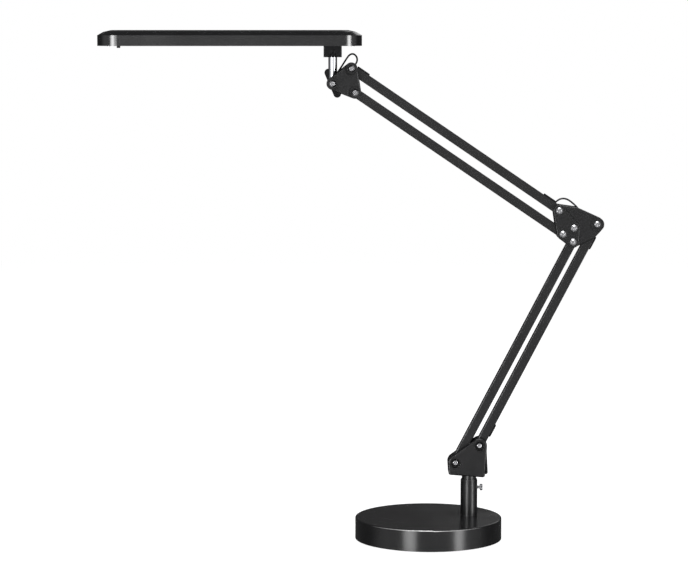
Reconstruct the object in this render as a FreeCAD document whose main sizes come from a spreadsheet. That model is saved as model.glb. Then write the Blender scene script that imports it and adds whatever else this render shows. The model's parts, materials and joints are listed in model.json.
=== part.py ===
import FreeCAD, Part
import math
import os

import Sketcher
from FreeCAD import Placement, Rotation, Vector

# Swing-arm desk lamp: a round weighted base, two square-tube parallelogram arms,
# pressed-plate brackets and a slim flat light head.
# +X points from the base centre towards the post, the head reaches towards -X,
# +Y is away from the viewer's side of the brackets and +Z is up.
# The origin is the centre of the base's underside, on the table.

doc = FreeCAD.newDocument("desk_lamp")

# Driving sizes, in millimetres and degrees.
SIZES = {
    # base
    "base_radius": 100.0,
    "base_height": 30.0,
    "base_wall": 1.5,
    "base_rim_round": 1.6,
    "pad_radius": 95.0,
    "pad_thickness": 1.2,
    "floor_thickness": 1.6,
    "weight_radius": 90.0,
    "weight_thickness": 14.0,
    "base_screw_circle": 76.0,
    "base_screw_radius": 2.0,
    "base_screw_reach": 8.0,
    "weight_notch": 16.0,
    "inlet_height": 11.0,
    "inlet_radius": 5.0,
    "inlet_bore": 2.75,
    "inlet_depth": 9.5,
    "inlet_back": 2.0,
    "inlet_collar": 1.4,
    "inlet_collar_length": 3.0,
    "inlet_collar_gap": 0.3,
    # post and swivel
    "post_x": 56.0,
    "post_y": 12.0,
    "post_radius": 11.5,
    "post_wall": 1.1,
    "post_top": 79.0,
    "flange_radius": 18.0,
    "flange_thickness": 6.0,
    "swivel_radius": 9.85,
    "swivel_bore": 6.0,
    "swivel_bottom": 44.0,
    "spigot_step": 2.0,
    "spigot_out": 1.0,
    "bush_floor": 3.7,
    "bush_lip": 1.3,
    "bush_lip_step": 0.3,
    "thumb_z": 68.7,
    "thumb_radius": 2.0,
    "thumb_shank": 3.4,
    "thumb_lobe": 2.45,
    "thumb_grip": 3.8,
    "thumb_spread": 2.1,
    "thumb_root": 1.0,
    # square tubes
    "tube_width": 12.2,
    "tube_wall": 1.0,
    "tube_round": 1.3,
    "lower_length": 341.7,
    "lower_rise": 62.45,
    "lower_pitch": 40.4,
    "lower_pitch_angle": 35.67,
    "upper_length": 340.3,
    "upper_rise": 145.8,
    "upper_pitch": 32.3,
    "upper_pitch_angle": -81.2,
    "guide_length": 19.0,
    "guide_thickness": 1.9,
    "guide_width": 10.0,
    "lower_guide_start": 16.0,
    "upper_guide_near": 10.0,
    "upper_guide_far": 6.0,
    "lead_window_start": 13.0,
    "lead_window_length": 12.0,
    "lead_window_width": 4.4,
    # pivots
    "shoulder_x": -19.1,
    "shoulder_z": 104.1,
    "elbow_x": 18.95,
    "elbow_z": 42.65,
    "tie_x": 1.15,
    "tie_z": 19.05,
    "screw_radius": 3.0,
    "screw_head_radius": 4.7,
    "screw_head_height": 2.9,
    "screw_tail": 0.8,
    "recess_length": 4.6,
    "recess_width": 1.1,
    "recess_depth": 1.2,
    "nut_radius": 5.2,
    "nut_height": 4.5,
    "bush_radius": 4.0,
    "bush_flange": 5.8,
    "running_gap": 0.05,
    "moving_gap": 0.3,
    "washer_gap": 0.15,
    "bush_flange_thickness": 0.85,
    # pressed bracket plates
    "sheet": 1.5,
    "plate_half_depth": 14.0,
    "plate_round": 2.2,
    "web_thickness": 3.0,
    "web_z": 89.3,
    "web_left": -22.0,
    "web_length": 40.0,
    "front_right": 18.4,
    "front_low": 87.2,
    "rear_right": 23.2,
    "rear_low": 88.2,
    "plate_left": -25.6,
    "plate_left_low": 90.6,
    "shoulder_lobe": 10.3,
    "shoulder_dish": 7.0,
    "corner_radius": 3.0,
    "elbow_lobe": 7.8,
    "elbow_end_lobe": 9.6,
    "gusset_x": -7.5,
    "gusset_z": -13.5,
    "gusset_round": 6.0,
    "crown_x": 20.0,
    "crown_z": -4.0,
    "crown_round": 9.0,
    "boss_margin": 0.3,
    "spacer_radius": 4.6,
    "link_plate": 2.2,
    "link_round": 1.1,
    "head_lobe": 8.4,
    "dish_margin": 0.4,
    # stem and knob
    "tilt_x": -27.65,
    "tilt_z": -4.0,
    "stem_radius": 5.9,
    "stem_wall": 1.0,
    "eye_radius": 7.0,
    "eye_half_width": 6.9,
    "lead_hole": 2.8,
    "lead_hole_z": 13.2,
    "neck_start": 2.0,
    "neck_step": 1.5,
    "plug_length": 8.0,
    "clip_out": 2.5,
    "clip_thickness": 1.2,
    "clip_gap": 0.2,
    "knob_angle": 113.0,
    "knob_reach": 15.6,
    "knob_tip": 5.2,
    "knob_thickness": 6.0,
    "knob_hub": 7.5,
    "knob_gap": 0.4,
    "knob_hub_out": 1.5,
    "knob_cover": 1.0,
    # head
    "head_rise": 50.85,
    "head_length": 355.9,
    "head_right": 39.4,
    "head_depth": 80.0,
    "head_corner": 28.7,
    "head_wall_height": 14.2,
    "head_crown": 6.8,
    "crown_inset": 18.0,
    "shoulder_inset": 8.0,
    "shoulder_rise": 4.5,
    "head_skin": 1.8,
    "skin_ease": 0.4,
    "block_width": 24.5,
    "block_depth": 24.0,
    "block_height": 15.3,
    "block_round": 1.6,
    "block_boss": 6.6,
    "block_boss_out": 2.2,
    "boss_share": 0.75,
    "collar_wall": 3.0,
    "bezel": 1.6,
    "window_length": 260.0,
    "window_depth": 54.0,
    "window_left": 40.0,
    "diffuser_lip": 3.0,
    "diffuser_thickness": 2.0,
    "diffuser_fit": 0.2,
    "diffuser_inset": 0.4,
    "board_length": 252.0,
    "board_depth": 44.0,
    "board_thickness": 1.6,
    "board_gap": 3.2,
    "led_size": 3.5,
    "led_height": 0.9,
    "spreader_thickness": 1.5,
    "stud_radius": 4.0,
    "driver_x": -12.0,
    "driver_y": 12.0,
    "driver_length": 34.0,
    "driver_depth": 14.0,
    "driver_height": 7.0,
    "head_screw_radius": 2.2,
    "head_screw_left": 16.0,
    "head_screw_right": 12.0,
    "head_screw_y": 20.0,
    "head_screw_head": 0.5,
    "head_screw_length": 4.5,
    "button_x": 27.5,
    "button_radius": 2.4,
    "button_out": 3.0,
    "button_travel": 1.2,
    "button_gap": 0.15,
    "button_flange": 1.4,
    "button_flange_thickness": 1.0,
    "button_seat_gap": 0.1,
    "switch_size": 8.0,
    "switch_height": 3.0,
    "carrier_length": 18.0,
    "carrier_depth": 28.0,
    "carrier_thickness": 1.6,
    "carrier_leg_radius": 2.0,
    "carrier_leg_x": -6.0,
    "carrier_leg_y": 10.0,
    "notch_x": 281.0,
    "notch_length": 7.0,
    "notch_height": 1.2,
    # leads
    "lead_radius": 1.2,
    "lead_post_top": 94.0,
    "lead_in_link_z": 1.5,
    "lead_in_arm_z": -3.6,
    "lead_near": 22.8,
}
LED_ROWS = 3
LED_COLUMNS = 18
BASE_SCREWS = 4

# Places worked out from the driving sizes. Pivots are seen from the post's axis.
PLACES = {
    "a1_x": "Sizes.shoulder_x",
    "a1_z": "Sizes.shoulder_z",
    "a2_x": "a1_x + Sizes.lower_pitch * cos(Sizes.lower_pitch_angle)",
    "a2_z": "a1_z + Sizes.lower_pitch * sin(Sizes.lower_pitch_angle)",
    "p1_x": "a1_x + Sizes.lower_length * cos(Sizes.lower_rise)",
    "p1_z": "a1_z + Sizes.lower_length * sin(Sizes.lower_rise)",
    "p2_x": "a2_x + Sizes.lower_length * cos(Sizes.lower_rise)",
    "p2_z": "a2_z + Sizes.lower_length * sin(Sizes.lower_rise)",
    "p3_x": "p1_x - Sizes.elbow_x",
    "p3_z": "p1_z + Sizes.elbow_z",
    "p4_x": "p3_x + Sizes.upper_pitch * cos(Sizes.upper_pitch_angle)",
    "p4_z": "p3_z + Sizes.upper_pitch * sin(Sizes.upper_pitch_angle)",
    "p5_x": "p1_x + Sizes.tie_x",
    "p5_z": "p1_z + Sizes.tie_z",
    "h2_x": "p3_x + Sizes.upper_length * cos(Sizes.upper_rise)",
    "h2_z": "p3_z + Sizes.upper_length * sin(Sizes.upper_rise)",
    "h3_x": "p4_x + Sizes.upper_length * cos(Sizes.upper_rise)",
    "h3_z": "p4_z + Sizes.upper_length * sin(Sizes.upper_rise)",
    "h1_x": "(h2_x + h3_x) / 2 + Sizes.tilt_x",
    "h1_z": "(h2_z + h3_z) / 2 + Sizes.tilt_z",
    "head_z": "h1_z + Sizes.head_rise",
}


def make_sheet(name, cells):
    sheet = doc.addObject("Spreadsheet::Sheet", name)
    for row, (alias, content) in enumerate(cells, 1):
        sheet.set(f"A{row}", alias)
        sheet.set(f"B{row}", content)
        sheet.setAlias(f"B{row}", alias)
    return sheet


sizes = make_sheet("Sizes", [(k, str(v)) for k, v in SIZES.items()])
places = make_sheet("Places", [(k, "=" + v) for k, v in PLACES.items()])
doc.recompute()

ALONG_X = Rotation(Vector(0, 1, 0), 90)
ALONG_Y = Rotation(Vector(1, 0, 0), -90)
ALONG_Z = Rotation()
DIRECTION = {"x": ALONG_X, "y": ALONG_Y, "z": ALONG_Z}
FACING_FRONT = Rotation(Vector(1, 0, 0), 90)
NEAR = 0.01
REACH = "60"

# Where the pivots are, seen from the post's axis.
A1 = ("Places.a1_x", "Places.a1_z")
A2 = ("Places.a2_x", "Places.a2_z")
P1 = ("Places.p1_x", "Places.p1_z")
P2 = ("Places.p2_x", "Places.p2_z")
P3 = ("Places.p3_x", "Places.p3_z")
P4 = ("Places.p4_x", "Places.p4_z")
P5 = ("Places.p5_x", "Places.p5_z")
H1 = ("Places.h1_x", "Places.h1_z")
H2 = ("Places.h2_x", "Places.h2_z")
H3 = ("Places.h3_x", "Places.h3_z")

parts = {}


def number(text):
    value = sizes.evalExpression(str(text))
    return float(getattr(value, "Value", value))


def bind(thing, **properties):
    for name, text in properties.items():
        thing.setExpression(name, str(text))


def put(thing, at, turn=None):
    """Places a thing at x, y, z, which are expressions, with a fixed turn."""
    thing.Placement = Placement(Vector(), turn or Rotation())
    for axis, text in zip("xyz", at):
        thing.setExpression("Placement.Base." + axis, str(text))
    return thing


def keep(node, thing):
    """Names the finished thing as a piece of the lamp."""
    thing.Label = node
    parts[node] = thing
    return thing


def cylinder(at, radius, height, along="y"):
    thing = doc.addObject("Part::Cylinder", "Cylinder")
    bind(thing, Radius=radius, Height=height)
    return put(thing, at, DIRECTION[along])


def cone(at, low, high, height, along="y"):
    thing = doc.addObject("Part::Cone", "Cone")
    bind(thing, Radius1=low, Radius2=high, Height=height)
    return put(thing, at, DIRECTION[along])


def box(at, length, width, height):
    thing = doc.addObject("Part::Box", "Box")
    bind(thing, Length=length, Width=width, Height=height)
    return put(thing, at)


def prism(at, radius, height, turn=ALONG_Y):
    thing = doc.addObject("Part::Prism", "Prism")
    thing.Polygon = 6
    bind(thing, Circumradius=radius, Height=height)
    return put(thing, at, turn)


def fuse(*shapes):
    thing = doc.addObject("Part::MultiFuse", "Fuse")
    thing.Shapes = list(shapes)
    return thing


def cut(base, *tools):
    for tool in tools:
        thing = doc.addObject("Part::Cut", "Cut")
        thing.Base = base
        thing.Tool = tool
        base = thing
    return base


def group(*links):
    thing = doc.addObject("Part::Compound", "Group")
    thing.Links = list(links)
    return thing


def ring(at, outer, inner, height, along="y"):
    return cut(cylinder(at, outer, height, along), cylinder(at, inner, height, along))


def mirrored(source):
    """Copies a thing to the far side of the arm's own plane."""
    thing = doc.addObject("Part::Mirroring", "Mirror")
    thing.Source = source
    thing.Normal = Vector(0, 1, 0)
    return thing


# ---- outlines: a closed chain of arcs round given centres, joined by tangent lines ----


def hull(at_y, circles, shrink="0"):
    """A sketch facing the viewer at depth at_y. circles are x, z and radius expressions,
    anticlockwise as seen, and shrink is taken off every radius."""
    sketch = doc.addObject("Sketcher::SketchObject", "Outline")
    put(sketch, ("0", at_y, "0"), FACING_FRONT)
    centres = [Vector(number(x), number(z), 0) for x, z, r in circles]
    radii = [number(f"{r} - {shrink}") for x, z, r in circles]
    count = len(circles)
    outward = []
    for i in range(count):
        j = (i + 1) % count
        step = centres[j] - centres[i]
        heading = math.atan2(step.y, step.x)
        outward.append(heading - math.pi / 2 + math.asin((radii[i] - radii[j]) / step.Length))
    for i in range(count):
        j = (i + 1) % count
        start = outward[i - 1]
        end = outward[i]
        while end < start:
            end += 2 * math.pi
        circle = Part.Circle(centres[i], Vector(0, 0, 1), radii[i])
        sketch.addGeometry(Part.ArcOfCircle(circle, start, end))
        normal = Vector(math.cos(outward[i]), math.sin(outward[i]), 0)
        first = centres[i] + normal * radii[i]
        last = centres[j] + normal * radii[j]
        sketch.addGeometry(Part.LineSegment(first, last))
    for i, (x, z, r) in enumerate(circles):
        arc = 2 * i
        line = 2 * i + 1
        following = (2 * i + 2) % (2 * count)
        sketch.addConstraint(Sketcher.Constraint("Tangent", arc, 2, line, 1))
        sketch.addConstraint(Sketcher.Constraint("Tangent", line, 2, following, 1))
        for kind, text, seed in (
            ("DistanceX", x, centres[i].x),
            ("DistanceY", z, centres[i].y),
        ):
            index = sketch.addConstraint(Sketcher.Constraint(kind, -1, 1, arc, 3, seed))
            sketch.setExpression(f"Constraints[{index}]", str(text))
        index = sketch.addConstraint(Sketcher.Constraint("Radius", arc, radii[i]))
        sketch.setExpression(f"Constraints[{index}]", f"{r} - {shrink}")
    return sketch


def pull(sketch, length):
    """Extrudes an outline towards the viewer."""
    thing = doc.addObject("Part::Extrusion", "Pull")
    thing.Base = sketch
    thing.DirMode = "Normal"
    thing.Solid = True
    bind(thing, LengthFwd=length)
    return thing


def rounded_front(block, depth, radius):
    """Rounds the edges of a block that lie in the plane y = -depth."""
    doc.recompute()
    limit = -number(depth) + NEAR
    chosen = [i for i, edge in enumerate(block.Shape.Edges, 1) if edge.BoundBox.YMax < limit]
    thing = doc.addObject("Part::Fillet", "Round")
    thing.Base = block
    thing.Edges = [(i, number(radius), number(radius)) for i in chosen]
    return thing


SEAT = "Sizes.tube_width / 2 + Sizes.bush_flange_thickness + Sizes.washer_gap"
SEAT_FACE = f"({SEAT} + Sizes.sheet)"
FACE = "Sizes.plate_half_depth"
HOLE = "Sizes.screw_radius + Sizes.running_gap"


def tray(circles, seats, face, extra_cuts=()):
    """A pressed plate with turned-in edges. seats are x, z, lobe radius and dish radius;
    a dish radius of None leaves the seat's post full."""
    depth = f"({face}) - ({SEAT})"
    blank = pull(hull(f"-({SEAT})", circles), depth)
    block = rounded_front(blank, face, "Sizes.plate_round")
    hollow = pull(hull(f"-({SEAT})", circles, "Sizes.sheet"), f"{depth} - Sizes.sheet")
    posts = [
        cylinder((x, f"-({face})", z), f"{lobe} + Sizes.sheet", depth)
        for x, z, lobe, dish in seats
    ]
    plate = cut(block, cut(hollow, *posts))
    dishes = [
        cylinder((x, f"-({REACH})", z), dish, f"{REACH} - {SEAT_FACE}")
        for x, z, lobe, dish in seats
        if dish
    ]
    holes = [cylinder((x, f"-({REACH})", z), HOLE, REACH) for x, z, lobe, dish in seats]
    return cut(plate, *dishes, *holes, *extra_cuts)


def at_post(thing):
    """Moves a thing made round the post's axis to its place on the base."""
    mover = group(thing)
    return put(mover, ("Sizes.post_x", "Sizes.post_y", "0"))


def screw(x, z, seat, end):
    """A pan-head screw from its seat at y = -seat to y = end, with a cross recess."""
    head_height = "Sizes.screw_head_height"
    shank = cylinder((x, f"-({seat})", z), "Sizes.screw_radius", f"({seat}) + ({end})")
    rim = cylinder(
        (x, f"-({seat}) - {head_height} * 0.45", z), "Sizes.screw_head_radius", f"{head_height} * 0.45"
    )
    top = f"-({seat}) - {head_height}"
    dome = cone(
        (x, top, z), "Sizes.screw_head_radius * 0.62", "Sizes.screw_head_radius", f"{head_height} * 0.55"
    )
    long = "Sizes.recess_length"
    wide = "Sizes.recess_width"
    slots = [
        box((f"{x} - {a} / 2", f"{top} - 1", f"{z} - {b} / 2"), a, "1 + Sizes.recess_depth", b)
        for a, b in ((long, wide), (wide, long))
    ]
    return cut(fuse(shank, rim, dome), *slots)


def nut(x, z, seat):
    blank = prism((x, seat, z), "Sizes.nut_radius", "Sizes.nut_height")
    bore = cylinder((x, seat, z), "Sizes.screw_radius", "Sizes.nut_height")
    return cut(blank, bore)


def screws_and_nuts(name, pivots, seats):
    screws = [
        screw(x, z, seat, f"({seat}) + Sizes.nut_height + Sizes.screw_tail")
        for (x, z), seat in zip(pivots, seats)
    ]
    nuts = [nut(x, z, seat) for (x, z), seat in zip(pivots, seats)]
    keep(name + "_screws", at_post(group(*screws)))
    keep(name + "_nuts", at_post(group(*nuts)))


# ---- base ----

INNER = "(Sizes.base_radius - Sizes.base_wall)"
UNDER = "(Sizes.base_height - Sizes.base_wall)"
FLOOR_TOP = "(Sizes.pad_thickness + Sizes.floor_thickness)"
INLET_START = "(Sizes.base_radius - Sizes.inlet_depth - Sizes.inlet_back)"
POST = ("Sizes.post_x", "Sizes.post_y")


def revolved(name, points):
    """A body turned about Z from an outline of radius and height expressions."""
    body = doc.addObject("PartDesign::Body", name)
    sketch = body.newObject("Sketcher::SketchObject", name + "Outline")
    plane = next(f for f in body.Origin.OriginFeatures if f.Role == "XZ_Plane")
    sketch.AttachmentSupport = [(plane, "")]
    sketch.MapMode = "FlatFace"
    seeds = [Vector(number(r), number(height), 0) for r, height in points]
    count = len(points)
    for i in range(count):
        sketch.addGeometry(Part.LineSegment(seeds[i], seeds[(i + 1) % count]))
    for i in range(count):
        sketch.addConstraint(Sketcher.Constraint("Coincident", i, 2, (i + 1) % count, 1))
    for i, (r, height) in enumerate(points):
        for kind, text, seed in (("DistanceX", r, seeds[i].x), ("DistanceY", height, seeds[i].y)):
            index = sketch.addConstraint(Sketcher.Constraint(kind, -1, 1, i, 1, seed))
            sketch.setExpression(f"Constraints[{index}]", str(text))
    turned = body.newObject("PartDesign::Revolution", name + "Turn")
    turned.Profile = sketch
    turned.ReferenceAxis = (sketch, ["V_Axis"])
    turned.Angle = 360
    body.Tip = turned
    doc.recompute()
    return body


def rounded_edges(body, radius, wanted):
    base = body.Tip
    doc.recompute()
    edges = [f"Edge{i}" for i, edge in enumerate(base.Shape.Edges, 1) if wanted(edge)]
    fillet = body.newObject("PartDesign::Fillet", "Rounding")
    fillet.Base = (base, edges)
    bind(fillet, Radius=radius)
    body.Tip = fillet
    return body


def make_base_shell():
    pad = "Sizes.pad_thickness"
    outline = [
        ("0", UNDER),
        (INNER, UNDER),
        (INNER, pad),
        ("Sizes.base_radius", pad),
        ("Sizes.base_radius", "Sizes.base_height"),
        ("0", "Sizes.base_height"),
    ]
    shell = revolved("Shell", outline)
    top = number("Sizes.base_height") - NEAR
    edge = number("Sizes.base_radius") - NEAR
    rounded_edges(
        shell, "Sizes.base_rim_round", lambda e: e.BoundBox.ZMin > top and e.BoundBox.XMax > edge
    )
    post_hole = cylinder((*POST, UNDER), "Sizes.post_radius", REACH, "z")
    inlet_hole = cylinder(("0", INLET_START, "Sizes.inlet_height"), "Sizes.inlet_radius", REACH)
    keep("base_cover", cut(shell, post_hole, inlet_hole))


def make_base_inside():
    pad = "Sizes.pad_thickness"
    keep("foot_pad", cylinder(("0", "0", "0"), "Sizes.pad_radius", pad, "z"))
    turns = [360 / BASE_SCREWS * (i + 0.5) for i in range(BASE_SCREWS)]
    circle = "Sizes.base_screw_circle"
    spots = [(f"{circle} * cos({turn})", f"{circle} * sin({turn})") for turn in turns]
    floor = cylinder(("0", "0", pad), INNER, "Sizes.floor_thickness", "z")
    radius = "Sizes.base_screw_radius"
    holes = [cylinder((x, y, "0"), radius, REACH, "z") for x, y in spots]
    keep("base_floor", cut(floor, *holes))
    weight = cylinder(("0", "0", FLOOR_TOP), "Sizes.weight_radius", "Sizes.weight_thickness", "z")
    taps = [cylinder((x, y, FLOOR_TOP), radius, "Sizes.base_screw_reach", "z") for x, y in spots]
    notch = box(
        ("-Sizes.weight_notch / 2", f"{INLET_START} - Sizes.inlet_radius", FLOOR_TOP),
        "Sizes.weight_notch",
        REACH,
        "Sizes.weight_thickness",
    )
    keep("base_weight", cut(weight, *taps, notch))
    screws = [
        cylinder((x, y, pad), radius, "Sizes.floor_thickness + Sizes.base_screw_reach", "z")
        for x, y in spots
    ]
    keep("base_screws", group(*screws))


def make_inlet():
    z = "Sizes.inlet_height"
    collar_y = "Sizes.base_radius - Sizes.base_wall - Sizes.inlet_collar_length - Sizes.inlet_collar_gap"
    barrel = cylinder(("0", INLET_START, z), "Sizes.inlet_radius", "Sizes.inlet_depth + Sizes.inlet_back")
    collar = cylinder(
        ("0", collar_y, z), "Sizes.inlet_radius + Sizes.inlet_collar", "Sizes.inlet_collar_length"
    )
    mouth = cylinder(("0", f"{INLET_START} + Sizes.inlet_back", z), "Sizes.inlet_bore", REACH)
    keep("power_inlet", cut(fuse(barrel, collar), mouth))


def make_post():
    flange_z = f"{UNDER} - Sizes.flange_thickness"
    post = "Sizes.post_radius"
    tube_bore = "(Sizes.post_radius - Sizes.post_wall)"
    keep("post_flange", ring((*POST, flange_z), "Sizes.flange_radius", post, "Sizes.flange_thickness", "z"))
    tube = ring((*POST, flange_z), post, tube_bore, f"Sizes.post_top - ({flange_z})", "z")
    screw_hole = cylinder(
        (*POST, "Sizes.thumb_z"), "Sizes.thumb_radius + Sizes.running_gap", REACH, "x"
    )
    keep("post_tube", cut(tube, screw_hole))
    floor_top = "(Sizes.swivel_bottom - Sizes.moving_gap)"
    bottom = f"({floor_top} - Sizes.bush_floor)"
    sleeve = cylinder((*POST, bottom), tube_bore, f"Sizes.post_top - {bottom}", "z")
    lip = cylinder((*POST, "Sizes.post_top"), f"{post} - Sizes.bush_lip_step", "Sizes.bush_lip", "z")
    bore = cylinder((*POST, floor_top), "Sizes.swivel_radius + Sizes.running_gap", REACH, "z")
    way = cylinder((*POST, "0"), "Sizes.swivel_bore", REACH, "z")
    keep("post_bush", cut(fuse(sleeve, lip), bore, way, screw_hole))
    lead_start = f"({FLOOR_TOP} + Sizes.weight_thickness)"
    lead = cylinder((*POST, lead_start), "Sizes.lead_radius", f"Sizes.lead_post_top - {lead_start}", "z")
    keep("lead_post_run", lead)


def make_thumbscrew():
    y = "Sizes.post_y"
    z = "Sizes.thumb_z"
    start = "(Sizes.post_x + Sizes.swivel_radius + Sizes.moving_gap)"
    grip_x = "(Sizes.post_x + Sizes.post_radius + Sizes.thumb_shank)"
    shank = cylinder((start, y, z), "Sizes.thumb_radius", f"{grip_x} + Sizes.thumb_root - {start}", "x")
    lobes = [
        cylinder((grip_x, y, f"{z} {side} Sizes.thumb_spread"), "Sizes.thumb_lobe", "Sizes.thumb_grip", "x")
        for side in ("+", "-")
    ]
    keep("thumbscrew", fuse(shank, *lobes))


# ---- lower bracket ----


def make_lower_bracket():
    lobe = "Sizes.shoulder_lobe"
    dish = "Sizes.shoulder_dish"
    corner = "Sizes.corner_radius"
    inner = f"({FACE} - Sizes.sheet)"
    for side in ("front", "rear"):
        circles = [
            (f"Sizes.{side}_right", f"Sizes.{side}_low", corner),
            (*A2, lobe),
            (*A1, lobe),
            ("Sizes.plate_left", "Sizes.plate_left_low", corner),
        ]
        stem_way = cylinder(
            ("0", "0", "0"), "Sizes.swivel_radius + Sizes.running_gap", "Sizes.web_z + Sizes.web_thickness", "z"
        )
        plate = tray(circles, [(*pivot, dish, dish) for pivot in (A1, A2)], FACE, [stem_way])
        if side == "rear":
            plate = mirrored(plate)
        keep(f"lower_bracket_{side}_plate", at_post(plate))
    web = box(
        ("Sizes.web_left", f"-{inner}", "Sizes.web_z"), "Sizes.web_length", f"2 * {inner}", "Sizes.web_thickness"
    )
    spigot_radius = "Sizes.swivel_radius - Sizes.spigot_step"
    web_hole = cylinder(("0", "0", "Sizes.web_z"), spigot_radius, REACH, "z")
    keep("lower_bracket_web", at_post(cut(web, web_hole)))
    bottom = "Sizes.swivel_bottom"
    stem = cylinder(("0", "0", bottom), "Sizes.swivel_radius", f"Sizes.web_z - {bottom}", "z")
    spigot = cylinder(
        ("0", "0", "Sizes.web_z"), spigot_radius, "Sizes.web_thickness + Sizes.spigot_out", "z"
    )
    bore = cylinder(("0", "0", bottom), "Sizes.swivel_bore", REACH, "z")
    keep("swivel_stem", at_post(cut(fuse(stem, spigot), bore)))
    screws_and_nuts("lower_bracket", (A1, A2), (SEAT_FACE, SEAT_FACE))


# ---- square tubes ----


def on_arm(thing, start, rise):
    """Places a thing made along X from its first pivot onto its arm."""
    mover = group(thing)
    at = (f"Sizes.post_x + {start[0]}", "Sizes.post_y", start[1])
    put(mover, at, Rotation(Vector(0, -1, 0), 1))
    mover.setExpression("Placement.Rotation.Angle", rise)
    return mover


def tube_side(body, length):
    """The tube's side view: a straight bar with round ends about its two pivots."""
    plane = next(f for f in body.Origin.OriginFeatures if f.Role == "XZ_Plane")
    side = body.newObject("Sketcher::SketchObject", "Side")
    side.AttachmentSupport = [(plane, "")]
    side.MapMode = "FlatFace"
    span = number(length)
    half = number("Sizes.tube_width / 2")
    near = Part.Circle(Vector(0, 0, 0), Vector(0, 0, 1), half)
    far = Part.Circle(Vector(span, 0, 0), Vector(0, 0, 1), half)
    side.addGeometry(Part.ArcOfCircle(near, math.pi / 2, 3 * math.pi / 2))
    side.addGeometry(Part.LineSegment(Vector(0, -half, 0), Vector(span, -half, 0)))
    side.addGeometry(Part.ArcOfCircle(far, -math.pi / 2, math.pi / 2))
    side.addGeometry(Part.LineSegment(Vector(span, half, 0), Vector(0, half, 0)))
    for i in range(4):
        side.addConstraint(Sketcher.Constraint("Tangent", i, 2, (i + 1) % 4, 1))
    side.addConstraint(Sketcher.Constraint("Coincident", 0, 3, -1, 1))
    side.addConstraint(Sketcher.Constraint("PointOnObject", 2, 3, -1))
    reach = side.addConstraint(Sketcher.Constraint("DistanceX", 0, 3, 2, 3, span))
    side.setExpression(f"Constraints[{reach}]", length)
    size = side.addConstraint(Sketcher.Constraint("Radius", 0, half))
    side.setExpression(f"Constraints[{size}]", "Sizes.tube_width / 2")
    return side


def square_tube(name, length, windows):
    """A rounded-end square tube with a cross hole at each pivot. windows are the starts
    and sides, +1 or -1 along Z, of its openings for the lead."""
    body = doc.addObject("PartDesign::Body", name)
    pad = body.newObject("PartDesign::Pad", "Width")
    pad.Profile = tube_side(body, length)
    pad.Midplane = True
    bind(pad, Length="Sizes.tube_width")
    body.Tip = pad
    limit = number("Sizes.tube_width / 2") - NEAR
    rounded_edges(
        body, "Sizes.tube_round", lambda e: e.BoundBox.YMin > limit or e.BoundBox.YMax < -limit
    )
    inside = "(Sizes.tube_width - 2 * Sizes.tube_wall)"
    bore = box((f"-({REACH})", f"-{inside} / 2", f"-{inside} / 2"), f"{length} + 2 * {REACH}", inside, inside)
    holes = [cylinder((x, f"-({REACH})", "0"), "Sizes.bush_radius", f"2 * {REACH}") for x in ("0", length)]
    openings = []
    for start, sign in windows:
        low = "0" if sign > 0 else "-Sizes.tube_width"
        size = ("Sizes.lead_window_length", "Sizes.lead_window_width", "Sizes.tube_width")
        openings.append(box((start, "-Sizes.lead_window_width / 2", low), *size))
    return cut(body, bore, *holes, *openings)


def bushes(length):
    """A pair of flanged bushes, one through each pivot hole."""
    made = []
    half = "Sizes.tube_width / 2"
    for x in ("0", length):
        core = cylinder((x, f"-({half})", "0"), "Sizes.bush_radius", "Sizes.tube_width")
        flanges = [
            cylinder((x, y, "0"), "Sizes.bush_flange", "Sizes.bush_flange_thickness")
            for y in (f"-({half}) - Sizes.bush_flange_thickness", half)
        ]
        bore = cylinder((x, f"-({REACH})", "0"), HOLE, f"2 * {REACH}")
        made.append(cut(fuse(core, *flanges), bore))
    return group(*made)


def guides(starts):
    """Low round-ended covers over the lead's openings near the tube's ends."""
    made = []
    z = "-Sizes.tube_width / 2 - Sizes.guide_thickness"
    half = "(Sizes.guide_width / 2)"
    thick = "Sizes.guide_thickness"
    for x in starts:
        bar = box((f"{x} + {half}", f"-{half}", z), "Sizes.guide_length - Sizes.guide_width", "Sizes.guide_width", thick)
        ends = [
            cylinder((f"{x} + {offset}", "0", z), half, thick, "z")
            for offset in (half, f"Sizes.guide_length - {half}")
        ]
        made.append(fuse(bar, *ends))
    return group(*made)


def inner_lead(start, end, z):
    """The lead's straight run inside a tube."""
    return cylinder((start, "0", z), "Sizes.lead_radius", f"{end} - ({start})", "x")


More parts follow.
